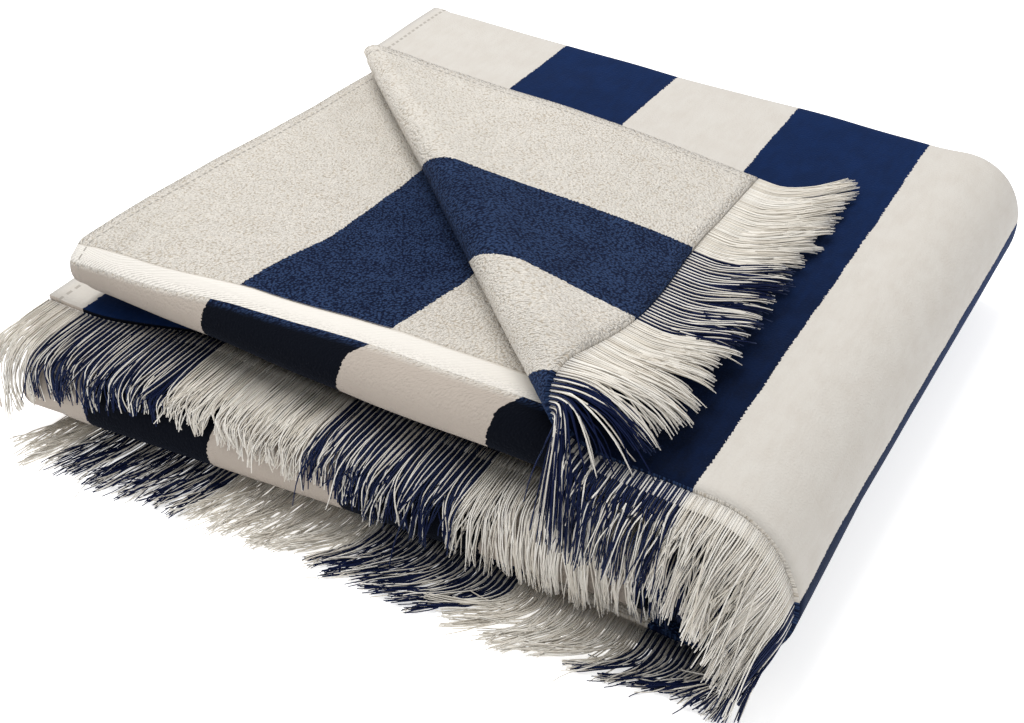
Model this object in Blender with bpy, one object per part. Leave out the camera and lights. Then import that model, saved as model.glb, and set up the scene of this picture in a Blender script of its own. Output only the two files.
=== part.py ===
"""Bath towel folded into a flat pile, striped across its width, with a knotless fringe at both ends.

Metres, +Z up. X runs to the right across the stripes, Y runs to the back, and the origin is on the
surface that the pile rests on, under its middle.
"""
import math
from collections import namedtuple

import bmesh
import bpy
from mathutils import Vector

# Driving sizes in metres
STRIPE = 0.075
CLOTH_THICKNESS = 0.0045

# Sizes of the pile, in stripe widths from here on
CLOTH_WIDTH = 10.6
MID_HEIGHT = 0.63
BEND_START = 4.3
PILE_CENTRE = (2.3, 2.1)

# The cloth lies in four runs, folded at the back, the front and the back again, and all four
# are then folded over to the right and under. One row a run, the outermost first: where its
# front and back ends lie and how far it is there from the pile's middle plane.
Run = namedtuple("Run", "front_y front_h back_y back_h")
TOP_RUNS = (
    Run(0.00, 0.490, 4.14, 0.450),
    Run(0.24, 0.410, 4.14, 0.262),
    Run(0.24, 0.116, 4.15, 0.188),
    Run(1.00, 0.038, 4.15, 0.038),
)
BOTTOM_RUNS = (
    Run(0.00, 0.600, 4.12, 0.600),
    Run(0.20, 0.520, 4.12, 0.350),
    Run(0.20, 0.116, 4.12, 0.270),
    Run(0.30, 0.038, 4.12, 0.038),
)
# Cloth that each run spends on the right-hand bend, and how far the bend reaches
BEND_CLOTH = (2.15, 2.00, 2.00, 1.75)
BEND_REACH = (0.57, 0.495, 0.42, 0.345)
BEND_SWELL = (0.05, 0.05, 0.05, 0.06)
BEND_FOLD_RADIUS = 0.038
REACH_FLARE = 0.03
LOWER_FOLD_SKEW = 0.105
BACK_SKEW = 0.010
END_SWING = 0.24
END_SWING_FROM = 3.2

# The front left corner of the top run is rolled over to the right and lies on the pile
CREASE_TOP = (0.0, 3.42)
CREASE_HEADING = math.radians(41.8)
CONE_BACK = 2.4
ROLL_RATE = 0.028
FLAP_REST = 0.078
FLAP_SETTLE = 2.14
FLAP_TAKE_UP = 0.835
FLAP_STRETCH = 0.069
FLAP_BULGE = 0.032
FLAP_BULGE_REACH = 1.96

# Mesh steps
BEND_STEPS = 11
BEND_END = 6.5
LEFT_STEPS = 9
FLAP_COLUMNS = 6
UNDER_STEPS = 9
RUN_STEPS = (8, 5, 5, 5)
FOLD_STEPS = (6, 7, 6)
ROLL_CUTS = 8
CUT_SNAP = 0.012

# Fringe: a woven strip sewn along each end with locks of yarn hanging from it
STRIP_WIDTH = 0.12
STRIP_THICKNESS = 0.034
LOCKS = 106
LOCK_SHARE = 0.62
LOCK_STEPS = 4
LOCK_TIP = 0.5
LOCK_CLEARANCE = 0.055
CROWDED = 0.8
PINCHED = (3.02, 3.78)

# One row a place along an end of the cloth: how far across the cloth it is, the gap between cloth
# and strip there, how far the locks keep the cloth's direction, and where their tips lie from
# their roots. The gap is 0.3 mm, and wider round the roll and the bend.
Hang = namedtuple("Hang", "across gap lead tip_x tip_y tip_z")
OUTER_FRINGE = (
    Hang(0.0, 0.004, 0.16, 0.32, 0.48, -0.02),
    Hang(0.6, 0.004, 0.18, 0.44, 0.26, -0.08),
    Hang(1.3, 0.004, 0.20, 0.54, 0.08, -0.12),
    Hang(2.3, 0.022, 0.20, 0.60, -0.18, -0.22),
    Hang(2.8, 0.022, 0.18, 0.52, -0.28, -0.24),
    Hang(3.2, 0.018, 0.20, 0.14, -0.42, -0.16),
    Hang(3.8, 0.018, 0.14, 0.00, -0.30, -0.44),
    Hang(4.3, 0.004, 0.14, 0.00, -0.24, -0.50),
    Hang(5.0, 0.004, 0.16, 0.08, -0.38, -0.36),
    Hang(5.5, 0.004, 0.16, 0.04, -0.36, -0.24),
    Hang(6.0, 0.004, 0.16, -0.04, -0.32, -0.12),
    Hang(6.6, 0.004, 0.16, -0.10, -0.32, 0.00),
    Hang(8.5, 0.004, 0.18, -0.12, -0.42, 0.00),
    Hang(10.6, 0.004, 0.20, -0.14, -0.50, 0.00),
)
INNER_FRINGE = (
    Hang(0.0, 0.004, 0.20, 0.00, -0.42, 0.00),
    Hang(4.3, 0.004, 0.20, 0.00, -0.42, 0.00),
    Hang(4.6, 0.040, 0.20, 0.00, -0.42, 0.00),
    Hang(5.2, 0.050, 0.20, 0.00, -0.42, 0.00),
    Hang(5.6, 0.040, 0.20, 0.00, -0.36, -0.06),
    Hang(6.3, 0.004, 0.14, 0.00, -0.30, -0.50),
    Hang(7.3, 0.004, 0.16, -0.02, -0.42, -0.48),
    Hang(8.3, 0.004, 0.20, -0.04, -0.53, -0.44),
    Hang(9.3, 0.010, 0.24, -0.12, -0.62, -0.38),
    Hang(10.0, 0.014, 0.22, -0.30, -0.56, -0.32),
    Hang(10.6, 0.014, 0.14, -0.46, -0.38, -0.34),
)

CREAM = (0.76, 0.70, 0.60, 1.0)
NAVY_AND_CREAM = (0.42, 0.42, 0.45, 1.0)
CLOTH_ROUGHNESS = 0.95


def mix(a, b, share):
    return a + (b - a) * share


def ease(share):
    share = min(max(share, 0.0), 1.0)
    return share * share * (3.0 - 2.0 * share)


def from_table(rows, key, column, place):
    """Value of a column at a place between two rows of a table."""
    for low, high in zip(rows, rows[1:]):
        if place <= getattr(high, key):
            span = getattr(high, key) - getattr(low, key)
            return mix(getattr(low, column), getattr(high, column), (place - getattr(low, key)) / span)
    return getattr(rows[-1], column)


def from_run(values, run):
    """Value between two neighbouring runs, for a run number that may lie in a fold."""
    low = min(int(run), len(values) - 2)
    return mix(values[low], values[low + 1], (1.0 - math.cos(math.pi * (run - low))) / 2)


def run_number(travel):
    """Run that a place along the cloth belongs to. Each run and each fold is one unit of travel."""
    stage = min(int(travel), 6)
    return stage / 2 if stage % 2 == 0 else (stage - 1) / 2 + travel - stage


def section(travel, turned, left, squeeze):
    """Y and distance from the middle plane of a place along the zigzag."""
    stage = min(int(travel), 6)
    part = travel - stage
    skew = -LOWER_FOLD_SKEW * left * turned
    fold_shift = (0.0, skew, skew, -END_SWING * ease(left - END_SWING_FROM) * turned)
    runs = [
        Run(mix(top.front_y, low.front_y, turned) + shift, mix(top.front_h, low.front_h, turned),
            mix(top.back_y, low.back_y, turned), mix(top.back_h, low.back_h, turned))
        for top, low, shift in zip(TOP_RUNS, BOTTOM_RUNS, fold_shift)
    ]
    upper = runs[stage // 2]
    to_back = stage // 2 % 2 == 0
    if stage % 2 == 0:
        along = part if to_back else 1.0 - part
        return mix(upper.front_y, upper.back_y, along), mix(upper.front_h, upper.back_h, ease(along))
    lower = runs[stage // 2 + 1]
    if to_back:
        y, high, low = upper.back_y, upper.back_h, lower.back_h
    else:
        y, high, low = upper.front_y, upper.front_h, lower.front_h
    radius = (high - low) / 2
    bulge = mix(radius, BEND_FOLD_RADIUS, squeeze) * (1.0 if to_back else -1.0)
    return y + bulge * math.sin(math.pi * part), (high + low) / 2 + radius * math.cos(math.pi * part)


def fold(across, travel):
    """Place in the pile of a point of the cloth, in stripe widths."""
    run = run_number(travel)
    cloth = from_run(BEND_CLOTH, run)
    share = min(max((across - BEND_START) / cloth, 0.0), 1.0)
    past_bend = max(across - BEND_START - cloth, 0.0)
    squeeze = (4.0 * share * (1.0 - share)) ** 2
    y, h = section(travel, ease(share), past_bend, math.sqrt(squeeze))
    h += from_run(BEND_SWELL, run) * squeeze
    y *= 1.0 + BACK_SKEW * (BEND_START - min(across, BEND_START) + past_bend)
    lead = from_run(BEND_REACH, run) - h + REACH_FLARE * y
    lead = max(lead, 0.0)
    path = share * (2.0 * lead + math.pi * h)
    if across <= BEND_START:
        x, z = across, h
    elif past_bend > 0.0:
        x, z = BEND_START - past_bend, -h
    elif path < lead:
        x, z = BEND_START + path, h
    elif path < lead + math.pi * h:
        angle = (path - lead) / h
        x, z = BEND_START + lead + h * math.sin(angle), h * math.cos(angle)
    else:
        x, z = BEND_START + 2.0 * lead + math.pi * h - path, -h
    z += MID_HEIGHT
    z += 0.016 * math.sin(1.9 * x + 0.7) * math.sin(1.3 * y + 1.1) * ease(z / MID_HEIGHT - 0.3)
    return Vector((x, y, z))


def turn_corner(point):
    """Rolls what lies left of the crease over to the right, about a cone with its tip behind."""
    tip_x = CREASE_TOP[0] - CONE_BACK * math.cos(CREASE_HEADING)
    tip_y = CREASE_TOP[1] + CONE_BACK * math.sin(CREASE_HEADING)
    crease = math.pi / 2 - CREASE_HEADING
    distance = math.hypot(point.x - tip_x, tip_y - point.y)
    beyond = distance * (crease - math.atan2(point.x - tip_x, tip_y - point.y))
    if beyond <= 0.0:
        return point
    radius = ROLL_RATE * distance
    if beyond < math.pi * radius:
        swing = -radius * math.sin(beyond / radius)
        lift = radius * (1.0 - math.cos(beyond / radius))
    else:
        swing = (beyond - math.pi * radius) * FLAP_TAKE_UP
        lift = mix(2.0 * radius, FLAP_REST, ease(swing / FLAP_SETTLE))
    angle = crease + swing / distance
    bulge = FLAP_BULGE * math.sin(math.pi * min(beyond / FLAP_BULGE_REACH, 1.0)) ** 2
    distance *= 1.0 + FLAP_STRETCH * ease(beyond / FLAP_SETTLE) + bulge
    return Vector((tip_x + distance * math.sin(angle), tip_y - distance * math.cos(angle), point.z + lift))


def cloth_point(across, travel):
    point = fold(across, travel)
    if travel <= 1.0 and across < BEND_START:
        point = turn_corner(point)
    return point


def to_metres(point):
    return Vector(((point.x - PILE_CENTRE[0]) * STRIPE, (point.y - PILE_CENTRE[1]) * STRIPE,
                   point.z * STRIPE))


def steps(start, end, count):
    return [mix(start, end, i / count) for i in range(count)]


COLUMNS = (steps(0.0, BEND_START, LEFT_STEPS) + steps(BEND_START, BEND_END, BEND_STEPS)
           + steps(BEND_END, CLOTH_WIDTH, UNDER_STEPS) + [CLOTH_WIDTH])


def make_object(name, bm, colour):
    mesh = bpy.data.meshes.new(name)
    bm.to_mesh(mesh)
    bm.free()
    mesh.shade_smooth()
    mesh.set_sharp_from_angle(angle=math.radians(50))
    material = bpy.data.materials.new(name)
    material.use_nodes = True
    shader = material.node_tree.nodes["Principled BSDF"]
    shader.inputs["Base Color"].default_value = colour
    shader.inputs["Roughness"].default_value = CLOTH_ROUGHNESS
    shader.inputs["Metallic"].default_value = 0.0
    mesh.materials.append(material)
    obj = bpy.data.objects.new(name, mesh)
    bpy.context.scene.collection.objects.link(obj)
    return obj


def make_cloth():
    """The whole cloth, one sheet from fringe to fringe."""
    travel = []
    for stage in range(7):
        count = RUN_STEPS[stage // 2] if stage % 2 == 0 else FOLD_STEPS[stage // 2]
        travel += steps(stage, stage + 1, count)
    travel.append(7.0)
    bm = bmesh.new()
    columns, rows = len(COLUMNS) - 1, len(travel) - 1
    bmesh.ops.create_grid(bm, x_segments=columns, y_segments=rows, size=0.5)
    top_run = bm.verts.layers.float.new("top_run")
    for vert in bm.verts:
        column = round((vert.co.x + 0.5) * columns)
        row = round((vert.co.y + 0.5) * rows)
        vert.co = fold(COLUMNS[column], travel[row])
        if column <= LEFT_STEPS and row <= RUN_STEPS[0]:
            vert[top_run] = 1.0
    # The corner is cut along the lines of the roll, so that it bends in straight strips
    faces = [face for face in bm.faces if all(vert[top_run] > 0.5 for vert in face.verts)]
    edges = list({edge for face in faces for edge in face.edges})
    piece = [vert for vert in bm.verts if vert[top_run] > 0.5] + edges + faces
    tip = Vector((CREASE_TOP[0] - CONE_BACK * math.cos(CREASE_HEADING),
                  CREASE_TOP[1] + CONE_BACK * math.sin(CREASE_HEADING), 0.0))
    for cut in range(ROLL_CUTS + 1):
        heading = CREASE_HEADING + math.pi * ROLL_RATE * cut / ROLL_CUTS
        normal = Vector((math.sin(heading), math.cos(heading), 0.0))
        result = bmesh.ops.bisect_plane(bm, geom=piece, plane_co=tip, plane_no=normal, dist=CUT_SNAP)
        piece = result["geom"]
    verts = [item for item in piece if isinstance(item, bmesh.types.BMVert)]
    bmesh.ops.remove_doubles(bm, verts=verts, dist=CUT_SNAP)
    for vert in bm.verts:
        vert.co = to_metres(turn_corner(vert.co) if vert[top_run] > 0.5 else vert.co)
    bmesh.ops.triangulate(bm, faces=[face for face in bm.faces if len(face.verts) > 4])
    bmesh.ops.recalc_face_normals(bm, faces=bm.faces)
    cloth = make_object("towel_cloth", bm, CREAM)
    wall = cloth.modifiers.new("thickness", "SOLIDIFY")
    wall.thickness = CLOTH_THICKNESS
    wall.offset = 0.0


def edge_point(across, end_travel):
    """Point of the cloth's end, on the straight sides that its mesh has outside the roll."""
    if COLUMNS[FLAP_COLUMNS] < across <= BEND_START:
        return cloth_point(across, end_travel)
    right = next((i for i, place in enumerate(COLUMNS) if i and place >= across), len(COLUMNS) - 1)
    low, high = COLUMNS[right - 1], COLUMNS[right]
    return mix(cloth_point(low, end_travel), cloth_point(high, end_travel), (across - low) / (high - low))


def edge_frame(rows, across, end_travel):
    """Edge point of the cloth's end, and its outward, sideways and upward directions."""
    step = 0.002
    inward = step if end_travel == 0.0 else -step
    right, left = min(across + step, CLOTH_WIDTH), max(across - step, 0.0)
    edge = edge_point(across, end_travel)
    out = (cloth_point(across, end_travel) - cloth_point(across, end_travel + inward)).normalized()
    side = (cloth_point(right, end_travel) - cloth_point(left, end_travel)) / (right - left)
    up = side.cross(out).normalized()
    spacing = side.length
    side = out.cross(up)
    edge += out * from_table(rows, "across", "gap", across)
    return edge, out, side, up, spacing


def clear_of_pile(place, half, end_travel):
    """Lifts a point of a lock off the surface, the top of the pile or the lower front fold."""
    low = BOTTOM_RUNS[2].front_h
    high = BOTTOM_RUNS[1].front_h
    if end_travel == 0.0 and 0.0 < place.y and place.x < BEND_START and place.z > MID_HEIGHT:
        top = fold(place.x, min(place.y / TOP_RUNS[0].back_y, 1.0))
        place.z = max(place.z, top.z + CLOTH_THICKNESS / STRIPE / 2 + half)
    elif end_travel > 0.0 and place.x < BEND_START and place.z < MID_HEIGHT:
        centre_y = BOTTOM_RUNS[1].front_y - LOWER_FOLD_SKEW * (BEND_START - place.x)
        centre_z = MID_HEIGHT - (high + low) / 2
        reach = (high - low + CLOTH_THICKNESS / STRIPE) / 2 + half + LOCK_CLEARANCE
        forward, up = centre_y - place.y, place.z - centre_z
        if up <= 0.0:
            place.y = min(place.y, centre_y - reach)
        elif forward <= 0.0:
            place.z = max(place.z, centre_z + reach)
        elif math.hypot(forward, up) < reach:
            away = reach / math.hypot(forward, up)
            place.y, place.z = centre_y - forward * away, centre_z + up * away
    place.z = max(place.z, half)
    return place


def lock_path(rows, across, along, end_travel):
    """Place and direction on the curve of one lock, from its root at 0 to its tip at 1."""
    edge, out = edge_frame(rows, across, end_travel)[:2]
    root = edge + out * STRIP_WIDTH
    lead = from_table(rows, "across", "lead", across)
    tip = root + Vector([from_table(rows, "across", column, across) for column in ("tip_x", "tip_y", "tip_z")])
    near = root + out * lead
    far = mix(near, tip, 0.5) + Vector((0.0, 0.0, 0.35 * (near.z - tip.z)))
    t = along
    place = (root * (1 - t) ** 3 + near * 3 * t * (1 - t) ** 2 + far * 3 * t * t * (1 - t) + tip * t ** 3)
    return clear_of_pile(place, STRIP_THICKNESS / 2, end_travel)


def roomy_locks(rows, end_travel, pitch):
    """Numbers of the locks that have room: few round a tight turn, none where the roll pinches."""
    kept, last_root, last_tip = [], None, None
    for number in range(LOCKS):
        root = lock_path(rows, (number + 0.5) * pitch, 0.0, end_travel)
        tip = lock_path(rows, (number + 0.5) * pitch, 1.0, end_travel)
        if kept and min((root - last_root).length, (tip - last_tip).length) < CROWDED * pitch:
            continue
        if end_travel == 0.0 and PINCHED[0] < (number + 0.5) * pitch < PINCHED[1]:
            continue
        kept.append(number)
        last_root, last_tip = root, tip
    return kept


def make_fringe(name, rows, end_travel, colour):
    """Strip along one end of the cloth, with its locks drawn out of its outer side."""
    pitch = CLOTH_WIDTH / LOCKS
    bm = bmesh.new()
    bmesh.ops.create_grid(bm, x_segments=LOCKS, y_segments=1, size=0.5)
    for vert in bm.verts:
        vert.co = Vector(((vert.co.x + 0.5) * CLOTH_WIDTH, vert.co.y - 0.5, -STRIP_THICKNESS / 2))
    raised = bmesh.ops.extrude_face_region(bm, geom=bm.faces[:])
    verts = [item for item in raised["geom"] if isinstance(item, bmesh.types.BMVert)]
    bmesh.ops.translate(bm, verts=verts, vec=(0.0, 0.0, STRIP_THICKNESS))
    bmesh.ops.recalc_face_normals(bm, faces=bm.faces)
    fronts = [face for face in bm.faces if all(abs(vert.co.y) < 1e-6 for vert in face.verts)]
    kept = roomy_locks(rows, end_travel, pitch)
    fronts = [face for face in fronts if int(face.calc_center_median().x / pitch) in kept]
    bmesh.ops.inset_individual(bm, faces=fronts, thickness=pitch * (1.0 - LOCK_SHARE) / 2, depth=0.0)
    for step in range(1, LOCK_STEPS + 1):
        fronts = bmesh.ops.extrude_discrete_faces(bm, faces=fronts)["faces"]
        for face in fronts:
            centre = face.calc_center_median()
            narrow = mix(1.0, LOCK_TIP, 1.0 / LOCK_STEPS)
            for vert in face.verts:
                vert.co.x = centre.x + (vert.co.x - centre.x) * narrow
                vert.co.y = step / LOCK_STEPS
    for vert in bm.verts:
        across, along, up_offset = vert.co
        if along <= 1e-6:
            edge, out, side, up, spacing = edge_frame(rows, across, end_travel)
            reach = STRIP_WIDTH if along > -0.5 else 0.0
            point = edge + out * reach + up * up_offset
        else:
            middle = (int(across / pitch) + 0.5) * pitch
            edge, out, side, up, spacing = edge_frame(rows, middle, end_travel)
            place = lock_path(rows, middle, along, end_travel)
            ahead = place - lock_path(rows, middle, along - 0.01, end_travel)
            lift = side.cross(ahead).normalized()
            point = place + side * (across - middle) * spacing + lift * up_offset
        vert.co = to_metres(point)
    if bm.calc_volume(signed=True) < 0.0:
        bmesh.ops.reverse_faces(bm, faces=bm.faces)
    make_object(name, bm, colour)


for old in list(bpy.data.objects):
    bpy.data.objects.remove(old)
make_cloth()
make_fringe("fringe_outer_end", OUTER_FRINGE, 0.0, NAVY_AND_CREAM)
make_fringe("fringe_inner_end", INNER_FRINGE, 7.0, NAVY_AND_CREAM)
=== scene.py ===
"""Bath towel folded into a flat pile, striped across its width, with a knotless fringe at both ends."""
import math
import random
from collections import namedtuple

import bmesh
import bpy
from mathutils import Matrix, Vector, noise


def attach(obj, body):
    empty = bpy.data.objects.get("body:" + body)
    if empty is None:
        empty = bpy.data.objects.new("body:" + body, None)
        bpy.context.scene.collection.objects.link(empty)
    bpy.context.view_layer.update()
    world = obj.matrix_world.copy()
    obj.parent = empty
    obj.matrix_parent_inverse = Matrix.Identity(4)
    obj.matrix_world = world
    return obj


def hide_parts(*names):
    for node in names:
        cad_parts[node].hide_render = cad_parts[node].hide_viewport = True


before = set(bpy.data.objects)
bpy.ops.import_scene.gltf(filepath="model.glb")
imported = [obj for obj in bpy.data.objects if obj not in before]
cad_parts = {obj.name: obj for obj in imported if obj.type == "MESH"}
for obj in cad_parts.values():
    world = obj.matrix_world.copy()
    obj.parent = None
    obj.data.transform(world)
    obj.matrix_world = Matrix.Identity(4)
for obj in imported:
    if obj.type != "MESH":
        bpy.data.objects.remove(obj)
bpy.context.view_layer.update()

# The cloth: one length of cotton towelling, woven in one go with a sheared velour face and a looped
# back. It is folded in four runs, back, front and back again, and then over to the right and under.
# The front left corner of its top run is turned back. Its sides are hemmed flat, and a plain-woven
# cream band crosses it. Lengths are in stripe widths, apart from
# the stripe itself, the flat length and the thickness, which are in metres.
STRIPE = 0.075
PILE_CENTRE = (2.3, 2.1)
CLOTH_WIDTH = 10.6
CLOTH_THICKNESS = 0.0048
MID_HEIGHT = 0.63
BEND_START = 4.3

Run = namedtuple("Run", "front_y front_h back_y back_h")
TOP_RUNS = (
    Run(0.00, 0.490, 4.14, 0.450),
    Run(0.24, 0.410, 4.14, 0.262),
    Run(0.24, 0.116, 4.15, 0.188),
    Run(1.00, 0.038, 4.15, 0.038),
)
BOTTOM_RUNS = (
    Run(0.00, 0.600, 4.12, 0.600),
    Run(0.20, 0.520, 4.12, 0.350),
    Run(0.20, 0.116, 4.12, 0.270),
    Run(0.30, 0.038, 4.12, 0.038),
)
BEND_CLOTH = (2.15, 2.00, 2.00, 1.75)
BEND_REACH = (0.57, 0.495, 0.42, 0.345)
BEND_SWELL = (0.05, 0.05, 0.05, 0.06)
BEND_FOLD_RADIUS = 0.038
REACH_FLARE = 0.03
LOWER_FOLD_SKEW = 0.105
BACK_SKEW = 0.010
END_SWING = 0.24
END_SWING_FROM = 3.2
WAVE = 0.016

CREASE_TOP = (0.0, 3.42)
CREASE_HEADING = math.radians(41.8)
CONE_BACK = 2.4
ROLL_RATE = 0.028
FLAP_REST = 0.078
FLAP_SETTLE = 2.14
FLAP_TAKE_UP = 0.835
FLAP_STRETCH = 0.069
FLAP_BULGE = 0.032
FLAP_BULGE_REACH = 1.96

COLUMN_STEPS = (60, 46, 52)
BEND_END = 6.5
RUN_STEPS = (52, 44, 30, 30)
FOLD_STEPS = (14, 16, 14)
ROLL_CUTS = 12
CUT_SNAP = 0.012


def mix(a, b, share):
    return a + (b - a) * share


def ease(share):
    share = min(max(share, 0.0), 1.0)
    return share * share * (3.0 - 2.0 * share)


def from_table(rows, key, column, place):
    """Value of a column at a place between two rows of a table."""
    for low, high in zip(rows, rows[1:]):
        if place <= getattr(high, key):
            span = getattr(high, key) - getattr(low, key)
            return mix(getattr(low, column), getattr(high, column), (place - getattr(low, key)) / span)
    return getattr(rows[-1], column)


def from_run(values, run):
    """Value between two neighbouring runs, for a run number that may lie in a fold."""
    low = min(int(run), len(values) - 2)
    return mix(values[low], values[low + 1], (1.0 - math.cos(math.pi * (run - low))) / 2)


def run_number(travel):
    """Run that a place along the cloth belongs to. Each run and each fold is one unit of travel."""
    stage = min(int(travel), 6)
    return stage / 2 if stage % 2 == 0 else (stage - 1) / 2 + travel - stage


def section(travel, turned, left, squeeze):
    """Y and distance from the middle plane of a place along the zigzag."""
    stage = min(int(travel), 6)
    part = travel - stage
    skew = -LOWER_FOLD_SKEW * left * turned
    fold_shift = (0.0, skew, skew, -END_SWING * ease(left - END_SWING_FROM) * turned)
    runs = [
        Run(mix(top.front_y, low.front_y, turned) + shift, mix(top.front_h, low.front_h, turned),
            mix(top.back_y, low.back_y, turned), mix(top.back_h, low.back_h, turned))
        for top, low, shift in zip(TOP_RUNS, BOTTOM_RUNS, fold_shift)
    ]
    upper = runs[stage // 2]
    to_back = stage // 2 % 2 == 0
    if stage % 2 == 0:
        along = part if to_back else 1.0 - part
        return mix(upper.front_y, upper.back_y, along), mix(upper.front_h, upper.back_h, ease(along))
    lower = runs[stage // 2 + 1]
    if to_back:
        y, high, low = upper.back_y, upper.back_h, lower.back_h
    else:
        y, high, low = upper.front_y, upper.front_h, lower.front_h
    radius = (high - low) / 2
    bulge = mix(radius, BEND_FOLD_RADIUS, squeeze) * (1.0 if to_back else -1.0)
    return y + bulge * math.sin(math.pi * part), (high + low) / 2 + radius * math.cos(math.pi * part)


def fold(across, travel):
    """Place in the pile of a point of the cloth."""
    run = run_number(travel)
    cloth = from_run(BEND_CLOTH, run)
    share = min(max((across - BEND_START) / cloth, 0.0), 1.0)
    past_bend = max(across - BEND_START - cloth, 0.0)
    squeeze = (4.0 * share * (1.0 - share)) ** 2
    y, h = section(travel, ease(share), past_bend, math.sqrt(squeeze))
    h += from_run(BEND_SWELL, run) * squeeze
    y *= 1.0 + BACK_SKEW * (BEND_START - min(across, BEND_START) + past_bend)
    lead = max(from_run(BEND_REACH, run) - h + REACH_FLARE * y, 0.0)
    path = share * (2.0 * lead + math.pi * h)
    if across <= BEND_START:
        x, z = across, h
    elif past_bend > 0.0:
        x, z = BEND_START - past_bend, -h
    elif path < lead:
        x, z = BEND_START + path, h
    elif path < lead + math.pi * h:
        angle = (path - lead) / h
        x, z = BEND_START + lead + h * math.sin(angle), h * math.cos(angle)
    else:
        x, z = BEND_START + 2.0 * lead + math.pi * h - path, -h
    z += MID_HEIGHT
    z += WAVE * math.sin(1.9 * x + 0.7) * math.sin(1.3 * y + 1.1) * ease(z / MID_HEIGHT - 0.3)
    return Vector((x, y, z))


def turn_corner(point):
    """Rolls what lies left of the crease over to the right, about a cone with its tip behind."""
    tip_x = CREASE_TOP[0] - CONE_BACK * math.cos(CREASE_HEADING)
    tip_y = CREASE_TOP[1] + CONE_BACK * math.sin(CREASE_HEADING)
    crease = math.pi / 2 - CREASE_HEADING
    distance = math.hypot(point.x - tip_x, tip_y - point.y)
    beyond = distance * (crease - math.atan2(point.x - tip_x, tip_y - point.y))
    if beyond <= 0.0:
        return point
    radius = ROLL_RATE * distance
    if beyond < math.pi * radius:
        swing = -radius * math.sin(beyond / radius)
        lift = radius * (1.0 - math.cos(beyond / radius))
    else:
        swing = (beyond - math.pi * radius) * FLAP_TAKE_UP
        lift = mix(2.0 * radius, FLAP_REST, ease(swing / FLAP_SETTLE))
    angle = crease + swing / distance
    bulge = FLAP_BULGE * math.sin(math.pi * min(beyond / FLAP_BULGE_REACH, 1.0)) ** 2
    distance *= 1.0 + FLAP_STRETCH * ease(beyond / FLAP_SETTLE) + bulge
    return Vector((tip_x + distance * math.sin(angle), tip_y - distance * math.cos(angle), point.z + lift))


def cloth_point(across, travel):
    point = fold(across, travel)
    if travel <= 1.0 and across < BEND_START:
        point = turn_corner(point)
    return point


def to_metres(point):
    return Vector(((point.x - PILE_CENTRE[0]) * STRIPE, (point.y - PILE_CENTRE[1]) * STRIPE,
                   point.z * STRIPE))


def steps(start, end, count):
    return [mix(start, end, i / count) for i in range(count)]


columns = (steps(0.0, BEND_START, COLUMN_STEPS[0]) + steps(BEND_START, BEND_END, COLUMN_STEPS[1])
           + steps(BEND_END, CLOTH_WIDTH, COLUMN_STEPS[2]) + [CLOTH_WIDTH])
travels = []
for stage in range(7):
    travels += steps(stage, stage + 1, RUN_STEPS[stage // 2] if stage % 2 == 0 else FOLD_STEPS[stage // 2])
travels.append(7.0)
section_points = [Vector(section(travel, 0.0, 0.0, 0.0)) for travel in travels]
lengths = [0.0]
for before, after in zip(section_points, section_points[1:]):
    lengths.append(lengths[-1] + (after - before).length)

UNEVEN = 0.012
UNEVEN_SCALE = 1.7


def uneven(point):
    """Soft rise and fall that neighbouring layers share."""
    place = Vector((point.x, point.y, point.z * 0.3)) * UNEVEN_SCALE
    point.z += UNEVEN * noise.noise(place) * ease(point.z / MID_HEIGHT - 0.2)
    return point


# How far the weave has slipped sideways in the pile, at places along the cloth, in its upper half
# and in its lower half
Slip = namedtuple("Slip", "travel upper lower")
SLIPS = (
    Slip(0.0, 0.00, 0.0),
    Slip(2.0, 0.00, 0.0),
    Slip(2.4, 0.04, 0.0),
    Slip(2.6, -0.03, 0.0),
    Slip(2.8, -0.02, 0.1),
    Slip(2.95, 0.09, 0.2),
    Slip(3.2, 0.19, 0.2),
    Slip(4.0, 0.26, 0.2),
    Slip(5.0, 0.00, 0.0),
    Slip(7.0, 0.00, 0.0),
)
# Further slips: at the turned corner's edge, along its crease, at the outer end and at the lower fold
CORNER_SLIP, CORNER_FROM, CORNER_TO = 0.16, 2.6, 3.9
CREASE_SLIP, CREASE_TRAVEL, CREASE_ACROSS = -0.17, 0.42, 1.4
END_SLIP, END_ACROSS = -0.30, 6.6
LOWER_SPREAD, SPREAD_FROM, SPREAD_TO = 0.12, 2.6, 4.4
SPREAD_MIDDLE = 10.3
# Where the plain-woven band starts and ends in the pile, measured along the cloth from the front fold
BandLine = namedtuple("BandLine", "across start end")
BAND = (
    BandLine(0.0, 0.06, 0.17),
    BandLine(0.7, 0.01, 0.13),
    BandLine(1.3, -0.08, 0.07),
    BandLine(2.3, -0.21, -0.02),
    BandLine(10.6, -0.22, -0.02),
)
HEM_WIDTH = 0.11
HEM_SINK = 0.012
BAND_SINK = 0.008
BAND_LIP = 0.014
front_fold_at = lengths[RUN_STEPS[0] + FOLD_STEPS[0] + RUN_STEPS[1]]


def hump(place, middle, spread):
    """1 at the middle, and softly down to 0 about twice the spread away."""
    return math.exp(-((place - middle) / spread) ** 2)


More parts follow.
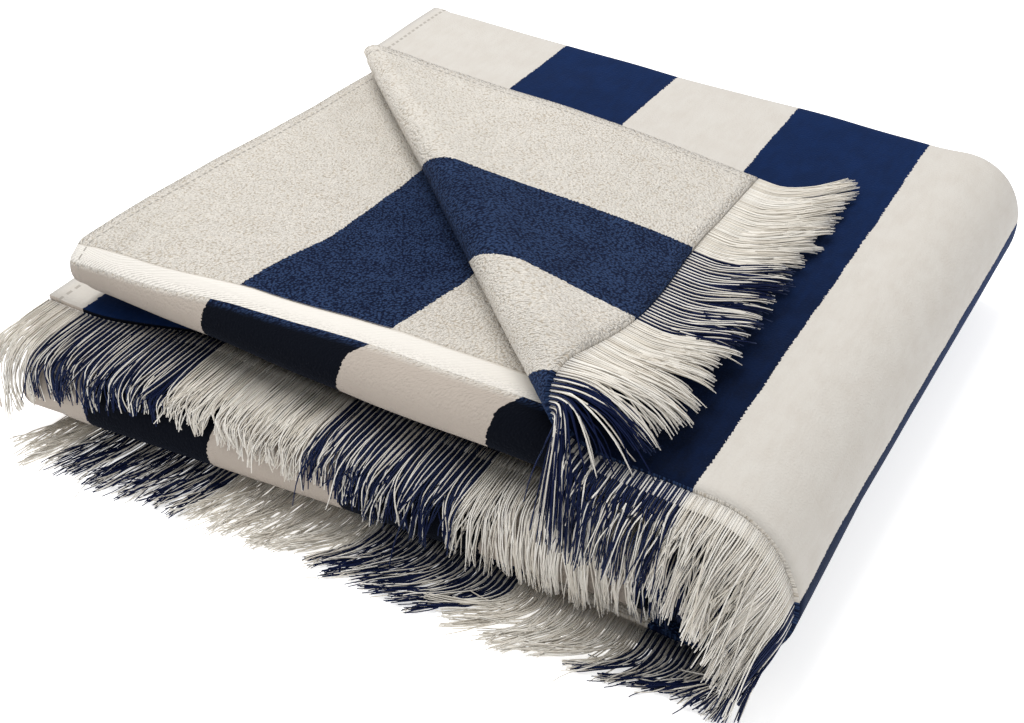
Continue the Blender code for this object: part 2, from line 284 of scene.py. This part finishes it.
def weave_place(across, travel):
    """Where across the flat cloth's stripes a point of the pile lies."""
    turned = ease((across - BEND_START) / 2.0)
    upper = from_table(SLIPS, "travel", "upper", travel)
    slip = mix(upper, from_table(SLIPS, "travel", "lower", travel), turned)
    if travel < 1.0:
        at_corner = ease((across - CORNER_FROM) / 0.6) * ease((CORNER_TO - across) / 0.5)
        slip += CORNER_SLIP * at_corner * ease(1.0 - travel * 5.0)
        slip += CREASE_SLIP * hump(travel, CREASE_TRAVEL, 0.18) * hump(across, CREASE_ACROSS, 1.0)
        slip += END_SLIP * hump(across, END_ACROSS, 0.7) * ease(1.0 - travel * 3.0)
    spread = LOWER_SPREAD * ease((travel - SPREAD_FROM) / 0.4) * ease(SPREAD_TO - travel)
    slip += spread * (across - SPREAD_MIDDLE) * turned
    return across + slip * ease(across / 0.4)


def band_place(across, along):
    """0 where the band starts, 1 where it ends."""
    start = from_table(BAND, "across", "start", across)
    return (along - front_fold_at - start) / (from_table(BAND, "across", "end", across) - start)


def relief(across, band):
    """How far the looped face sinks at the plain-woven hems and band, and lifts at the band's lip."""
    edge = min(across, CLOTH_WIDTH - across)
    inside = ease(band / 0.2 + 0.5) * ease((1.0 - band) / 0.2 + 0.5)
    lip = max(1.0 - abs(band - 0.85) / 0.3, 0.0)
    return BAND_LIP * lip - BAND_SINK * inside - HEM_SINK * (1.0 - ease((edge - HEM_WIDTH) / 0.03 + 0.5))


bm = bmesh.new()
bmesh.ops.create_grid(bm, x_segments=len(columns) - 1, y_segments=len(travels) - 1, size=0.5)
top_run = bm.verts.layers.float.new("top_run")
across_at = bm.verts.layers.float.new("across_at")
along_at = bm.verts.layers.float.new("along_at")
band_at = bm.verts.layers.float.new("band_at")
for vert in bm.verts:
    column = round((vert.co.x + 0.5) * (len(columns) - 1))
    row = round((vert.co.y + 0.5) * (len(travels) - 1))
    vert.co = uneven(fold(columns[column], travels[row]))
    vert[across_at], vert[along_at] = weave_place(columns[column], travels[row]), lengths[row]
    vert[band_at] = band_place(columns[column], lengths[row])
    if column <= COLUMN_STEPS[0] and row <= RUN_STEPS[0]:
        vert[top_run] = 1.0
faces = [face for face in bm.faces if all(vert[top_run] > 0.5 for vert in face.verts)]
piece = [vert for vert in bm.verts if vert[top_run] > 0.5]
piece += list({edge for face in faces for edge in face.edges}) + faces
cone_tip = Vector((CREASE_TOP[0] - CONE_BACK * math.cos(CREASE_HEADING),
                   CREASE_TOP[1] + CONE_BACK * math.sin(CREASE_HEADING), 0.0))
for cut in range(ROLL_CUTS + 1):
    heading = CREASE_HEADING + math.pi * ROLL_RATE * cut / ROLL_CUTS
    normal = Vector((math.sin(heading), math.cos(heading), 0.0))
    piece = bmesh.ops.bisect_plane(bm, geom=piece, plane_co=cone_tip, plane_no=normal, dist=CUT_SNAP)["geom"]
verts = [item for item in piece if isinstance(item, bmesh.types.BMVert)]
bmesh.ops.remove_doubles(bm, verts=verts, dist=CUT_SNAP)
for vert in bm.verts:
    vert.co = to_metres(turn_corner(vert.co) if vert[top_run] > 0.5 else vert.co)
bmesh.ops.triangulate(bm, faces=[face for face in bm.faces if len(face.verts) > 4])
bmesh.ops.recalc_face_normals(bm, faces=bm.faces)
on_top = Vector((0.1, 0.1, 0.11))
top_face = min(bm.faces, key=lambda face: (face.calc_center_median() - on_top).length)
if top_face.normal.z < 0.0:
    bmesh.ops.reverse_faces(bm, faces=bm.faces)
bm.normal_update()
lifts = [(vert, vert.normal * relief(vert[across_at], vert[band_at]) * STRIPE) for vert in bm.verts]
for vert, lift in lifts:
    vert.co -= lift
    vert.co.z = max(vert.co.z, CLOTH_THICKNESS / 2)
flat_map = bm.loops.layers.uv.new("cloth")
band_map = bm.loops.layers.uv.new("band")
for face in bm.faces:
    for loop in face.loops:
        loop[flat_map].uv = (loop.vert[across_at] * STRIPE, loop.vert[along_at] * STRIPE)
        loop[band_map].uv = (loop.vert[band_at], 0.0)
cloth_mesh = bpy.data.meshes.new("towel_fabric")
bm.to_mesh(cloth_mesh)
bm.free()
cloth_mesh.shade_smooth()
cloth = bpy.data.objects.new("towel_fabric", cloth_mesh)
bpy.context.scene.collection.objects.link(cloth)
wall = cloth.modifiers.new("thickness", "SOLIDIFY")
wall.thickness = CLOTH_THICKNESS
wall.offset = 0.0
wall.material_offset = 1
wall.material_offset_rim = 1


class Field:
    """A socket of a material, on which Python's arithmetic adds Math nodes."""

    def __init__(self, tree, socket=None):
        self.tree, self.socket = tree, socket

    def node(self, kind, settings=None, values=None, output=0):
        node = self.tree.nodes.new(kind)
        for name, value in (settings or {}).items():
            setattr(node, name, value)
        for name, value in (values or {}).items():
            if isinstance(value, Field):
                self.tree.links.new(value.socket, node.inputs[name])
            else:
                node.inputs[name].default_value = value
        return Field(self.tree, node.outputs[output])

    def math(self, operation, *values):
        return self.node("ShaderNodeMath", {"operation": operation}, dict(enumerate(values)))

    def __add__(self, other):
        return self.math("ADD", self, other)

    def __sub__(self, other):
        return self.math("SUBTRACT", self, other)

    def __rsub__(self, other):
        return self.math("SUBTRACT", other, self)

    def __mul__(self, other):
        return self.math("MULTIPLY", self, other)

    def __truediv__(self, other):
        return self.math("DIVIDE", self, other)

    def __lt__(self, other):
        return self.math("LESS_THAN", self, other)

    def __gt__(self, other):
        return self.math("GREATER_THAN", self, other)

    def blend(self, low, high):
        """Colour between two colours, by this field."""
        return self.node("ShaderNodeMix", {"data_type": "RGBA"}, {0: self, 6: low, 7: high}, 2)

    def ramp(self, low, high):
        """0 below the low value and 1 above the high one, with a soft step between."""
        return self.node("ShaderNodeMapRange", {"interpolation_type": "SMOOTHSTEP"},
                         {"Value": self, "From Min": low, "From Max": high})


CREAM = (0.715, 0.675, 0.612, 1.0)
CREAM_DEEP = (0.50, 0.44, 0.36, 1.0)
VELOUR_CREAM = (0.59, 0.562, 0.518, 1.0)
VELOUR_CREAM_DEEP = (0.545, 0.508, 0.46, 1.0)
BAND_CREAM = (0.78, 0.745, 0.69, 1.0)
BAND_DEEP = (0.52, 0.49, 0.45, 1.0)
# Navy velour: the lighter tone carries painted sheen towards the back of the pile, the darker one painted
# shade towards the front
NAVY_VELOUR = (0.0035, 0.017, 0.072, 1.0)
NAVY_VELOUR_DEEP = (0.0015, 0.004, 0.014, 1.0)
NAVY_LOOPS = (0.028, 0.054, 0.130, 1.0)
NAVY_LOOPS_DEEP = (0.003, 0.007, 0.026, 1.0)
# Painted shade: darker cream and navy for the looped face past the band, on the front faces of the lower
# folds
SHADED_CREAM_PAST_BAND = (0.44, 0.385, 0.335, 1.0)
SHADED_NAVY_PAST_BAND = (0.0015, 0.0025, 0.006, 1.0)
STITCH = (0.40, 0.37, 0.33, 1.0)
FIRST_STRIPE = 1.3
STITCH_LENGTH = 0.0042
STITCH_WIDTH = 0.020
# Scales of the noises and cells, for one metre of cloth, and heights of the bumps in metres
LOOP_SCALE = 850.0
GRAIN_SCALE = 900.0
FUZZ_SCALE = 750.0
STREAK_SCALE = 330.0
MOTTLE_SCALE = 70.0
SWAY_SCALE = 35.0
LOOP_WARP = 0.0009
EDGE_SOFTNESS = 0.030
TWILL_ACROSS, TWILL_ALONG = 190.0, 330.0
LOOP_BUMP, VELOUR_BUMP = 0.0018, 0.0005


def new_material(name, roughness, sheen):
    material = bpy.data.materials.new(name)
    material.use_nodes = True
    shader = material.node_tree.nodes["Principled BSDF"]
    shader.inputs["Roughness"].default_value = roughness
    shader.inputs["Sheen Weight"].default_value = sheen
    shader.inputs["Sheen Roughness"].default_value = 0.35
    shader.inputs["Sheen Tint"].default_value = (0.45, 0.60, 1.0, 1.0)
    shader.inputs["Specular IOR Level"].default_value = 0.10
    return material, shader, Field(material.node_tree)


def in_navy_stripe(across):
    stripe = (across - FIRST_STRIPE) / 2.0
    return (stripe.math("FRACT", stripe) < 0.5) * (across > FIRST_STRIPE)


def towelling(name, looped):
    """One face of the cloth: sheared velour, or loops. Its pattern lies on the flat cloth, in metres."""
    material, shader, field = new_material(name, 0.95, 0.05 if looped else 0.10)
    place = field.node("ShaderNodeUVMap", {"uv_map": "cloth"})
    parts = field.node("ShaderNodeSeparateXYZ", None, {0: place})
    across = parts / STRIPE
    along = Field(field.tree, parts.socket.node.outputs[1]) / STRIPE
    fuzz = field.node("ShaderNodeTexNoise", None, {"Vector": place, "Scale": FUZZ_SCALE, "Detail": 1.0})
    sway = field.node("ShaderNodeTexNoise", None, {"Vector": place, "Scale": SWAY_SCALE, "Detail": 2.0})
    navy = in_navy_stripe(across + (fuzz - 0.5) * EDGE_SOFTNESS + (sway - 0.5) * EDGE_SOFTNESS)
    band_parts = field.node("ShaderNodeSeparateXYZ", None,
                            {0: field.node("ShaderNodeUVMap", {"uv_map": "band"})})
    band = (band_parts > 0.0) * (band_parts < 1.0)
    side = across.math("MINIMUM", across, CLOTH_WIDTH - across)
    navy = navy * (1.0 - band)
    mottle = field.node("ShaderNodeTexNoise", None, {"Vector": place, "Scale": MOTTLE_SCALE, "Detail": 3.0})
    grain = field.node("ShaderNodeTexNoise", None, {"Vector": place, "Scale": GRAIN_SCALE, "Detail": 2.0})
    if looped:
        warp = place.node("ShaderNodeVectorMath", {"operation": "SCALE"},
                          {0: Field(field.tree, grain.socket.node.outputs["Color"]), "Scale": LOOP_WARP})
        bent = place.node("ShaderNodeVectorMath", {"operation": "ADD"}, {0: place, 1: warp})
        loops = field.node("ShaderNodeTexVoronoi", None, {"Vector": bent, "Scale": LOOP_SCALE})
        pile = (1.0 - loops * 1.3) * 0.7 + grain * 0.3
        shade = pile * 0.75 + mottle * 0.25
        # Past the band's end the looped face takes painted shade, standing in for the shade on the fronts of
        # the folds, and its pile bump is made flatter
        past_band_shade_and_flat_pile = band_parts.ramp(1.0, 1.3)
        cream = past_band_shade_and_flat_pile.blend(shade.ramp(0.16, 0.44).blend(CREAM_DEEP, CREAM), SHADED_CREAM_PAST_BAND)
        blue = past_band_shade_and_flat_pile.blend(shade.ramp(0.28, 0.60).blend(NAVY_LOOPS_DEEP, NAVY_LOOPS), SHADED_NAVY_PAST_BAND)
        relief_share = 0.7 - past_band_shade_and_flat_pile * 0.5
    else:
        pile = grain
        drawn = field.node("ShaderNodeVectorMath", {"operation": "MULTIPLY"},
                           {0: place, 1: (1.0, 0.22, 1.0)})
        streaks = field.node("ShaderNodeTexNoise", None,
                             {"Vector": drawn, "Scale": STREAK_SCALE, "Detail": 2.0})
        shade = grain * 0.20 + mottle * 0.45 + streaks * 0.35
        cream = shade.ramp(0.25, 0.70).blend(VELOUR_CREAM_DEEP, VELOUR_CREAM)
        # Painted sheen and shade: the navy velour goes from dark at the front of the pile to lighter at the
        # back, standing in for sheen and light from behind, mixed with random mottle
        painted_sheen_and_mottle = along.ramp(0.0, 4.4) * 0.65 + shade.ramp(0.30, 0.70) * 0.35
        blue = painted_sheen_and_mottle.blend(NAVY_VELOUR_DEEP, NAVY_VELOUR)
        relief_share = 0.6
    line = across * TWILL_ACROSS + along * TWILL_ALONG
    twill = line.math("SINE", line)
    # The twill lines are the band's real weave, but their colour fades in only towards the band's lower
    # edge, which paints the grazing light on its curl
    hatch = twill.ramp(0.1, 0.8) * band_parts.ramp(0.35, 1.0) * grain.ramp(0.40, 0.55)
    colour = band.blend(navy.blend(cream, blue), hatch.blend(BAND_CREAM, BAND_DEEP))
    # Painted shade: a faint dark line where the band starts, standing in for the shadow where the terry
    # drops to the flat band
    band_edge_shade = band_parts.math("ABSOLUTE", band_parts) < 0.06
    dash = along * (STRIPE / STITCH_LENGTH)
    off = side - HEM_WIDTH * 0.86
    stitch = (dash.math("FRACT", dash) < 0.6) * (off.math("ABSOLUTE", off) < STITCH_WIDTH / 2)
    colour = stitch.blend((band_edge_shade * 0.35).blend(colour, CREAM_DEEP), STITCH)
    height = (1.0 - band) * (pile * relief_share + 0.4) + band * (twill * 0.05)
    depth = LOOP_BUMP if looped else VELOUR_BUMP
    bump = field.node("ShaderNodeBump", None, {"Strength": 1.0, "Distance": depth, "Height": height})
    field.tree.links.new(colour.socket, shader.inputs["Base Color"])
    field.tree.links.new(bump.socket, shader.inputs["Normal"])
    return material


cloth_mesh.materials.append(towelling("velour_face", False))
cloth_mesh.materials.append(towelling("looped_back", True))
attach(cloth, "root")
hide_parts("towel_cloth")

# The fringes: at each end of the cloth the terry stops at a small ridge, the warp is woven flat for
# about a centimetre, and past that it hangs free as cotton yarns without knots. The yarns are cream
# at the cream stripes, and navy and white in turn at the navy ones.
STRIP_WIDTH = 0.12
STRIP_THICKNESS = 0.020
HEADER_STEPS = 420
YARN_PITCH = 1.0 / 56
YARN_LAYERS = 4
YARN_SIDES = 3
YARN_RADIUS = 0.0052
YARN_STEPS = 11
OUTER_END, INNER_END = 0.0, 7.0

# One row a place along an end: how far across it is, how far the yarns keep the cloth's direction,
# where their tips lie from their roots, and how much they stray
Hang = namedtuple("Hang", "across lead tip_x tip_y tip_z stray")
OUTER_FRINGE = (
    Hang(0.00, 0.16, 0.39, 0.48, -0.06, 0.4),
    Hang(0.60, 0.16, 0.44, 0.49, -0.10, 0.5),
    Hang(1.30, 0.16, 0.41, 0.39, -0.14, 0.6),
    Hang(1.80, 0.16, 0.36, 0.34, -0.16, 0.6),
    Hang(2.30, 0.18, 0.36, 0.32, -0.18, 0.6),
    Hang(2.80, 0.20, 0.43, 0.14, -0.20, 0.6),
    Hang(3.24, 0.20, 0.50, 0.03, -0.24, 0.5),
    Hang(3.34, 0.14, 0.09, -0.21, -0.60, 0.8),
    Hang(3.60, 0.12, 0.02, -0.10, -0.60, 0.8),
    Hang(3.80, 0.12, -0.08, -0.06, -0.58, 0.7),
    Hang(4.05, 0.12, -0.10, -0.08, -0.56, 0.7),
    Hang(4.30, 0.12, -0.09, -0.11, -0.55, 0.7),
    Hang(4.55, 0.14, -0.09, -0.17, -0.52, 0.8),
    Hang(4.80, 0.14, -0.12, -0.22, -0.50, 0.9),
    Hang(5.05, 0.14, -0.16, -0.25, -0.50, 0.9),
    Hang(5.30, 0.14, -0.15, -0.24, -0.50, 0.8),
    Hang(5.60, 0.14, -0.16, -0.20, -0.42, 0.9),
    Hang(5.95, 0.14, -0.23, -0.21, -0.18, 0.9),
    Hang(6.25, 0.14, -0.25, -0.27, -0.05, 0.9),
    Hang(6.58, 0.16, -0.28, -0.31, -0.02, 0.9),
    Hang(6.95, 0.16, -0.26, -0.37, -0.01, 0.9),
    Hang(7.30, 0.16, -0.34, -0.38, 0.00, 0.9),
    Hang(8.30, 0.16, -0.23, -0.42, 0.00, 0.9),
    Hang(9.30, 0.16, -0.10, -0.52, 0.00, 0.9),
    Hang(10.3, 0.16, -0.12, -0.58, 0.00, 0.9),
    Hang(10.6, 0.16, -0.07, -0.56, 0.00, 0.9),
)
INNER_FRINGE = (
    Hang(0.00, 0.20, 0.00, -0.42, 0.00, 0.2),
    Hang(4.60, 0.20, 0.00, -0.42, 0.00, 0.2),
    Hang(5.60, 0.20, 0.02, -0.28, -0.24, 0.3),
    Hang(6.30, 0.27, 0.03, -0.22, -0.41, 0.7),
    Hang(6.55, 0.30, 0.09, -0.26, -0.44, 0.7),
    Hang(6.80, 0.32, 0.11, -0.28, -0.45, 0.7),
    Hang(7.05, 0.35, 0.07, -0.32, -0.43, 0.7),
    Hang(7.30, 0.39, -0.03, -0.41, -0.34, 0.8),
    Hang(7.80, 0.44, -0.01, -0.45, -0.28, 0.8),
    Hang(8.30, 0.47, 0.02, -0.49, -0.20, 0.8),
    Hang(8.80, 0.50, 0.03, -0.52, -0.15, 0.8),
    Hang(9.30, 0.54, 0.02, -0.57, -0.12, 0.8),
    Hang(10.0, 0.42, 0.08, -0.45, -0.20, 0.8),
    Hang(10.3, 0.40, 0.08, -0.44, -0.26, 0.8),
    Hang(10.45, 0.34, 0.05, -0.48, -0.40, 0.8),
    Hang(10.6, 0.30, 0.02, -0.48, -0.44, 0.8),
)
HIDDEN_ACROSS = 4.6
FOLD_CLEARANCE = 0.03
# Neighbouring yarns lie in locks: how many, how far they are drawn together, how long they are, and how
# much a lock and a yarn of it wander, with a few that stray
LOCK_YARNS = (4, 12)
LOCK_GATHER = (0.5, 1.15)
LOCK_LENGTH = (0.92, 1.08)
LOCK_WANDER = (0.035, 0.035, 0.025)
YARN_LENGTH = (0.95, 1.03)
YARN_WANDER = (0.012, 0.012, 0.0084)
STRAY_WANDER = (0.085, 0.085, 0.0595)
NEAT_SHARE = 0.95
YARN_WAVE = (0.004, 0.022)
SAG = 0.32


def edge_frame(across, end_travel):
    """Edge point of the cloth's end, and its outward, sideways and upward directions."""
    step = 0.002
    inward = step if end_travel == OUTER_END else -step
    right, left = min(across + step, CLOTH_WIDTH), max(across - step, 0.0)
    edge = cloth_point(across, end_travel)
    out = (edge - cloth_point(across, end_travel + inward)).normalized()
    side = (cloth_point(right, end_travel) - cloth_point(left, end_travel)) / (right - left)
    up = side.cross(out).normalized()
    return edge, out, out.cross(up), up


def in_navy(across, end_travel):
    across = weave_place(across, end_travel)
    return across > FIRST_STRIPE and (across - FIRST_STRIPE) / 2.0 % 1.0 < 0.5


def clear_of_pile(place, half, end_travel):
    """Lifts a point of a yarn off the surface, the top of the pile or the lower front fold."""
    low, high = BOTTOM_RUNS[2].front_h, BOTTOM_RUNS[1].front_h
    if end_travel == OUTER_END and 0.0 < place.y and place.x < BEND_START and place.z > MID_HEIGHT:
        top = fold(place.x, min(place.y / TOP_RUNS[0].back_y, 1.0))
        place.z = max(place.z, top.z + CLOTH_THICKNESS / STRIPE / 2 + half)
    elif end_travel == INNER_END and place.x < BEND_START and place.z < MID_HEIGHT:
        centre_y = BOTTOM_RUNS[1].front_y - LOWER_FOLD_SKEW * (BEND_START - place.x)
        centre_z = MID_HEIGHT - (high + low) / 2
        reach = (high - low + CLOTH_THICKNESS / STRIPE) / 2 + half + FOLD_CLEARANCE
        forward, up = centre_y - place.y, place.z - centre_z
        if up <= 0.0:
            place.y = min(place.y, centre_y - reach)
        elif forward <= 0.0:
            place.z = max(place.z, centre_z + reach)
        elif math.hypot(forward, up) < reach:
            away = reach / math.hypot(forward, up)
            place.y, place.z = centre_y - forward * away, centre_z + up * away
    place.z = max(place.z, half)
    return place


Yarn = namedtuple("Yarn", "across lift length draw drift own wave turn")


def yarn_path(rows, end_travel, yarn):
    """Points along one yarn, from the terry's ridge over the header to its tip."""
    edge, out, side, up = edge_frame(yarn.across, end_travel)
    start = edge + out * 0.01 + up * yarn.lift
    root = edge + out * STRIP_WIDTH + up * yarn.lift
    lead, tip_x, tip_y, tip_z, stray = (
        from_table(rows, "across", column, yarn.across) for column in Hang._fields[1:])
    tip = root + Vector((tip_x, tip_y, tip_z)) * yarn.length + side * yarn.draw
    tip += (yarn.drift + yarn.own) * stray
    near = root + out * lead
    far = mix(near, tip, 0.55) + Vector((0.0, 0.0, SAG * (near.z - tip.z)))
    points = [start]
    for step in range(YARN_STEPS):
        t = step / (YARN_STEPS - 1)
        place = (root * (1 - t) ** 3 + near * 3 * t * (1 - t) ** 2 + far * 3 * t * t * (1 - t)
                 + tip * t ** 3)
        place += side * (yarn.wave * t * math.sin(yarn.turn + 7.0 * t))
        place += up * (yarn.wave * t * math.cos(yarn.turn + 5.0 * t))
        points.append(clear_of_pile(place, YARN_RADIUS + (yarn.lift + STRIP_THICKNESS) * 0.5, end_travel))
    return points


def wander(rng, spreads):
    """Random step, with its usual size along each axis."""
    return Vector([rng.gauss(0, spread) for spread in spreads])


def make_fringe(name, rows, end_travel, seed):
    """All the yarns of one end, as one mesh of fine tubes."""
    rng = random.Random(seed)
    one = bmesh.new()
    bmesh.ops.create_circle(one, segments=YARN_SIDES, radius=1.0, cap_ends=False)
    edges = one.edges[:]
    for step in range(YARN_STEPS):
        made = bmesh.ops.extrude_edge_only(one, edges=edges)["geom"]
        edges = [item for item in made if isinstance(item, bmesh.types.BMEdge) and item.is_boundary]
        bmesh.ops.translate(one, verts=[item for item in made if isinstance(item, bmesh.types.BMVert)],
                            vec=(0.0, 0.0, 1.0))
    bmesh.ops.holes_fill(one, edges=[edge for edge in one.edges if edge.is_boundary], sides=YARN_SIDES)
    bmesh.ops.recalc_face_normals(one, faces=one.faces)
    pattern = bpy.data.meshes.new(name + "_yarn")
    one.to_mesh(pattern)
    one.free()
    tubes = []
    for layer in range(YARN_LAYERS):
        left_in_lock = 0
        lift = STRIP_THICKNESS * (0.5 - layer / (YARN_LAYERS - 1)) + YARN_RADIUS * 0.6
        for number in range(round(CLOTH_WIDTH / YARN_PITCH)):
            across = (number + 0.5 + rng.uniform(-0.25, 0.25)) * YARN_PITCH
            if left_in_lock == 0:
                left_in_lock = rng.randint(*LOCK_YARNS)
                middle = across + left_in_lock * YARN_PITCH / 2
                gather = rng.uniform(*LOCK_GATHER)
                drift = wander(rng, LOCK_WANDER)
                reach = rng.uniform(*LOCK_LENGTH)
            left_in_lock -= 1
            own = wander(rng, YARN_WANDER if rng.random() < NEAT_SHARE else STRAY_WANDER)
            yarn = Yarn(across, lift, reach * rng.uniform(*YARN_LENGTH), (middle - across) * gather,
                        drift, own, rng.uniform(*YARN_WAVE), rng.uniform(0.0, 6.28))
            shade = rng.random()
            # In the lower layers more of a navy stripe's yarns are made navy than white, which paints the
            # shade beneath the top layer
            dark = in_navy(across, end_travel) and (number % 2 == 1 or (layer > 0 and shade < 0.55))
            if layer > 0 and end_travel == INNER_END and across < HIDDEN_ACROSS:
                continue
            tubes.append((yarn_path(rows, end_travel, yarn), 1.0 if dark else 0.0, shade))
    bm = bmesh.new()
    for _ in tubes:
        bm.from_mesh(pattern)
    bpy.data.meshes.remove(pattern)
    navy = bm.verts.layers.float.new("navy")
    tint = bm.verts.layers.float.new("tint")
    ring_size = YARN_SIDES * (YARN_STEPS + 1)
    frames = []
    for points, _, _ in tubes:
        for i, point in enumerate(points):
            ahead = (points[min(i + 1, YARN_STEPS)] - points[max(i - 1, 0)]).normalized()
            wide = ahead.cross(Vector((0.31, 0.2, 0.93))).normalized()
            frames.append((point, wide, wide.cross(ahead)))
    for index, vert in enumerate(bm.verts):
        number = index // ring_size
        along = round(vert.co.z)
        point, wide, high = frames[number * (YARN_STEPS + 1) + along]
        radius = YARN_RADIUS * mix(1.0, 0.65, (along / YARN_STEPS) ** 3)
        vert.co = to_metres(point + (wide * vert.co.x + high * vert.co.y) * radius)
        vert[navy], vert[tint] = tubes[number][1:]
    mesh = bpy.data.meshes.new(name)
    bm.to_mesh(mesh)
    bm.free()
    mesh.shade_smooth()
    obj = bpy.data.objects.new(name, mesh)
    bpy.context.scene.collection.objects.link(obj)
    return obj


def make_header(name, end_travel):
    """The flat-woven strip between the terry and the yarns."""
    bm = bmesh.new()
    bmesh.ops.create_grid(bm, x_segments=HEADER_STEPS, y_segments=2, size=0.5)
    flat_map = bm.loops.layers.uv.new("cloth")
    for face in bm.faces:
        for loop in face.loops:
            place = weave_place((loop.vert.co.x + 0.5) * CLOTH_WIDTH, end_travel)
            loop[flat_map].uv = (place * STRIPE, loop.vert.co.y * STRIP_WIDTH * STRIPE)
    for vert in bm.verts:
        edge, out = edge_frame((vert.co.x + 0.5) * CLOTH_WIDTH, end_travel)[:2]
        vert.co = to_metres(edge + out * ((vert.co.y + 0.5) * STRIP_WIDTH - 0.004))
    mesh = bpy.data.meshes.new(name)
    bm.to_mesh(mesh)
    bm.free()
    mesh.shade_smooth()
    obj = bpy.data.objects.new(name, mesh)
    bpy.context.scene.collection.objects.link(obj)
    wall = obj.modifiers.new("thickness", "SOLIDIFY")
    wall.thickness = STRIP_THICKNESS * STRIPE / 2
    wall.offset = 0.0
    return obj


YARN_CREAM = (0.84, 0.81, 0.75, 1.0)
YARN_CREAM_DEEP = (0.66, 0.61, 0.53, 1.0)
YARN_NAVY = (0.006, 0.011, 0.045, 1.0)


def yarn_material():
    material, shader, field = new_material("fringe_yarn", 0.9, 0.1)
    dark = field.node("ShaderNodeAttribute", {"attribute_name": "navy"}, None, 2)
    tint = field.node("ShaderNodeAttribute", {"attribute_name": "tint"}, None, 2)
    light = tint.blend(YARN_CREAM_DEEP, YARN_CREAM)
    colour = dark.blend(light, YARN_NAVY)
    field.tree.links.new(colour.socket, shader.inputs["Base Color"])
    return material


def header_material():
    material, shader, field = new_material("fringe_header", 0.95, 0.1)
    place = field.node("ShaderNodeUVMap", {"uv_map": "cloth"})
    parts = field.node("ShaderNodeSeparateXYZ", None, {0: place})
    across = parts / STRIPE
    navy = in_navy_stripe(across)
    thread = across / (2.0 * YARN_PITCH)
    thread = thread.math("FRACT", thread) < 0.5
    colour = (navy * thread).blend(YARN_CREAM, YARN_NAVY)
    rib = across * (2.0 * math.pi / YARN_PITCH)
    bump = field.node("ShaderNodeBump", None, {"Strength": 0.6, "Distance": 0.0006,
                                               "Height": rib.math("SINE", rib)})
    field.tree.links.new(colour.socket, shader.inputs["Base Color"])
    field.tree.links.new(bump.socket, shader.inputs["Normal"])
    return material


yarn_finish, header_finish = yarn_material(), header_material()
for end, rows, end_travel, seed in (("outer", OUTER_FRINGE, OUTER_END, 3),
                                    ("inner", INNER_FRINGE, INNER_END, 8)):
    yarns = make_fringe(f"yarns_{end}_end", rows, end_travel, seed)
    yarns.data.materials.append(yarn_finish)
    header = make_header(f"header_{end}_end", end_travel)
    header.data.materials.append(header_finish)
    for obj in (yarns, header):
        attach(obj, "root")
    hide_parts(f"fringe_{end}_end")

# The studio: a plain white floor, soft light from above and behind on the left, and the camera of
# the photograph, which looks down on the front left corner of the pile.
FLOOR_SIZE = 60.0
bm = bmesh.new()
bmesh.ops.create_grid(bm, x_segments=1, y_segments=1, size=FLOOR_SIZE / 2)
floor_mesh = bpy.data.meshes.new("floor")
bm.to_mesh(floor_mesh)
bm.free()
floor = bpy.data.objects.new("floor", floor_mesh)
bpy.context.scene.collection.objects.link(floor)
floor_finish = bpy.data.materials.new("floor")
floor_finish.use_nodes = True
floor_shader = floor_finish.node_tree.nodes["Principled BSDF"]
floor_shader.inputs["Base Color"].default_value = (0.97, 0.97, 0.97, 1.0)
floor_shader.inputs["Emission Color"].default_value = (1.0, 1.0, 1.0, 1.0)
floor_shader.inputs["Emission Strength"].default_value = 0.55
floor_shader.inputs["Roughness"].default_value = 0.9
floor_mesh.materials.append(floor_finish)


def soft_light(name, place, size, power):
    data = bpy.data.lights.new(name, "AREA")
    data.size = size
    data.energy = power
    light = bpy.data.objects.new(name, data)
    light.location = place
    light.rotation_euler = (-Vector(place)).to_track_quat("-Z", "Y").to_euler()
    bpy.context.scene.collection.objects.link(light)


soft_light("key", (-0.55, 0.1, 1.7), 1.2, 28.0)
soft_light("side", (1.4, 0.2, 1.0), 1.0, 4.0)
soft_light("fill", (0.3, -1.6, 1.2), 1.6, 1.0)
world = bpy.data.worlds.new("studio")
world.use_nodes = True
world.node_tree.nodes["Background"].inputs["Color"].default_value = (1.0, 1.0, 1.0, 1.0)
world.node_tree.nodes["Background"].inputs["Strength"].default_value = 0.50
bpy.context.scene.world = world
bpy.context.scene.view_settings.view_transform = "Standard"

CAMERA_PLACE = (0.26175, -0.48975, 0.41325)
CAMERA_YAW = math.radians(-29.61)
CAMERA_PITCH = math.radians(37.97)
CAMERA_ROLL = math.radians(0.77)
CAMERA_LENS = 45.33
lens = bpy.data.cameras.new("camera")
lens.lens = CAMERA_LENS
camera = bpy.data.objects.new("camera", lens)
ahead = Vector((math.sin(CAMERA_YAW), math.cos(CAMERA_YAW), 0.0))
forward = ahead * math.cos(CAMERA_PITCH) + Vector((0.0, 0.0, -math.sin(CAMERA_PITCH)))
level = Vector((math.cos(CAMERA_YAW), -math.sin(CAMERA_YAW), 0.0))
upward = level.cross(forward)
right = math.cos(CAMERA_ROLL) * level + math.sin(CAMERA_ROLL) * upward
top = -math.sin(CAMERA_ROLL) * level + math.cos(CAMERA_ROLL) * upward
camera.matrix_world = Matrix.Translation(CAMERA_PLACE) @ Matrix((right, top, -forward)).transposed().to_4x4()
bpy.context.scene.collection.objects.link(camera)
bpy.context.scene.camera = camera
